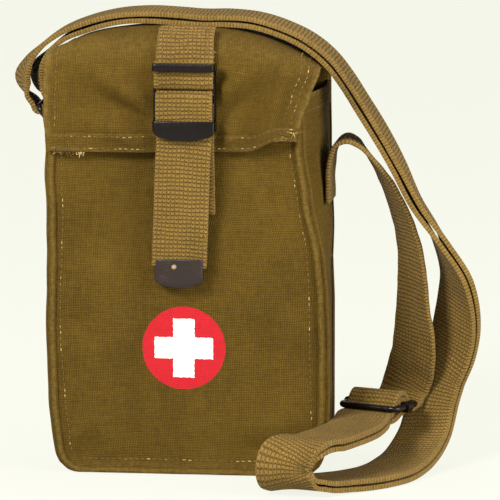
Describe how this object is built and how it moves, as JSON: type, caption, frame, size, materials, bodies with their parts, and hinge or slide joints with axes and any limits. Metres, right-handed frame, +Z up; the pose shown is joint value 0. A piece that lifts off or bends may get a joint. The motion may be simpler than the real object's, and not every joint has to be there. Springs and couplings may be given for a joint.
{
  "type": "first aid kit",
  "caption": "Upright canvas first aid pouch with a front flap, web strap and buckle closure, a long web shoulder strap with ring and slider, and dressings inside",
  "frame": {"origin": "middle of the bag's flat bottom, where it stands on the table", "axes": "+Z up to the flap, -Y out of the front with the buckle, +X to the side that the slider hangs on"},
  "size_m": [0.259, 0.1442, 0.2594],
  "materials": {
    "canvas": "matte woven",
    "webbing": "matte ribbed",
    "blackened_steel": "worn satin black",
    "tip_metal": "dull dark",
    "rivet_metal": "dull",
    "bandage": "matte",
    "dressing_card": "matte",
    "tape": "matte",
    "spool_plastic": "satin",
    "bottle_plastic": "semi gloss",
    "cap_plastic": "satin",
    "scissor_steel": "polished"
  },
  "bodies": {
    "bag": {"front_panel": "canvas", "back_panel": "canvas", "gusset": "canvas", "front_welt": "canvas", "gusset_welt": "canvas", "back_binding": "canvas", "mouth_hem": "canvas", "divider": "canvas", "closure_strap": "webbing", "ring_chape": "webbing", "shoulder_strap_outer": "webbing", "shoulder_strap_side": "webbing", "shoulder_strap_inner": "webbing", "antiseptic_bottle": "bottle_plastic", "tape_spool": "spool_plastic", "tape_roll": "tape", "dressing_box": "dressing_card", "roller_bandage_left": "bandage", "roller_bandage_right": "bandage", "wound_dressing": "bandage", "gauze_pack": "bandage", "triangular_bandage": "bandage", "scissor_half_fixed": "scissor_steel", "scissor_screw": "scissor_steel", "tweezers": "scissor_steel"},
    "flap": {"flap_panel": "canvas", "flap_hem": "canvas", "flap_webbing": "webbing"},
    "buckle": {"buckle_loop": "webbing", "buckle_frame": "blackened_steel"},
    "tail": {"strap_tail": "webbing", "strap_tip": "tip_metal", "tip_rivet": "rivet_metal"},
    "ring": {"strap_ring": "blackened_steel"},
    "slider": {"slider_frame": "blackened_steel", "slider_bar": "blackened_steel"},
    "cap": {"bottle_cap": "cap_plastic"},
    "scissor_half": {"scissor_half_moving": "scissor_steel"}
  },
  "joints": [
    {"name": "flap_hinge", "type": "hinge", "parent": "bag", "child": "flap", "pos_m": [0, 0.03875, 0.21675], "axis": [-1, 0, 0], "range_deg": [0, 170], "deforming": ["shoulder_strap_outer", "shoulder_strap_side", "shoulder_strap_inner"]},
    {"name": "buckle_lift", "type": "hinge", "parent": "flap", "child": "buckle", "pos_m": [0, -0.0524, 0.2366], "axis": [-1, 0, 0], "range_deg": [0, 70], "deforming": ["closure_strap"]},
    {"name": "tail_lift", "type": "hinge", "parent": "bag", "child": "tail", "pos_m": [0, -0.0524, 0.188], "axis": [-1, 0, 0], "range_deg": [0, 80]},
    {"name": "ring_swing", "type": "hinge", "parent": "bag", "child": "ring", "pos_m": [-0.0798, 0, 0.1955], "axis": [0, 1, 0], "range_deg": [-35, 30]},
    {"name": "slider_slide", "type": "slide", "parent": "bag", "child": "slider", "axis": [0.4003, 0.9164, 0], "range_m": [-0.012, 0.012]},
    {"name": "cap_screw", "type": "hinge", "parent": "bag", "child": "cap", "pos_m": [0.0422, -0.00925, 0.065], "axis": [0, 0, 1], "continuous": true},
    {"name": "scissor_pivot", "type": "hinge", "parent": "bag", "child": "scissor_half", "pos_m": [-0.018, 0.02785, 0.072], "axis": [0, -1, 0], "range_deg": [0, 24]}
  ]
}
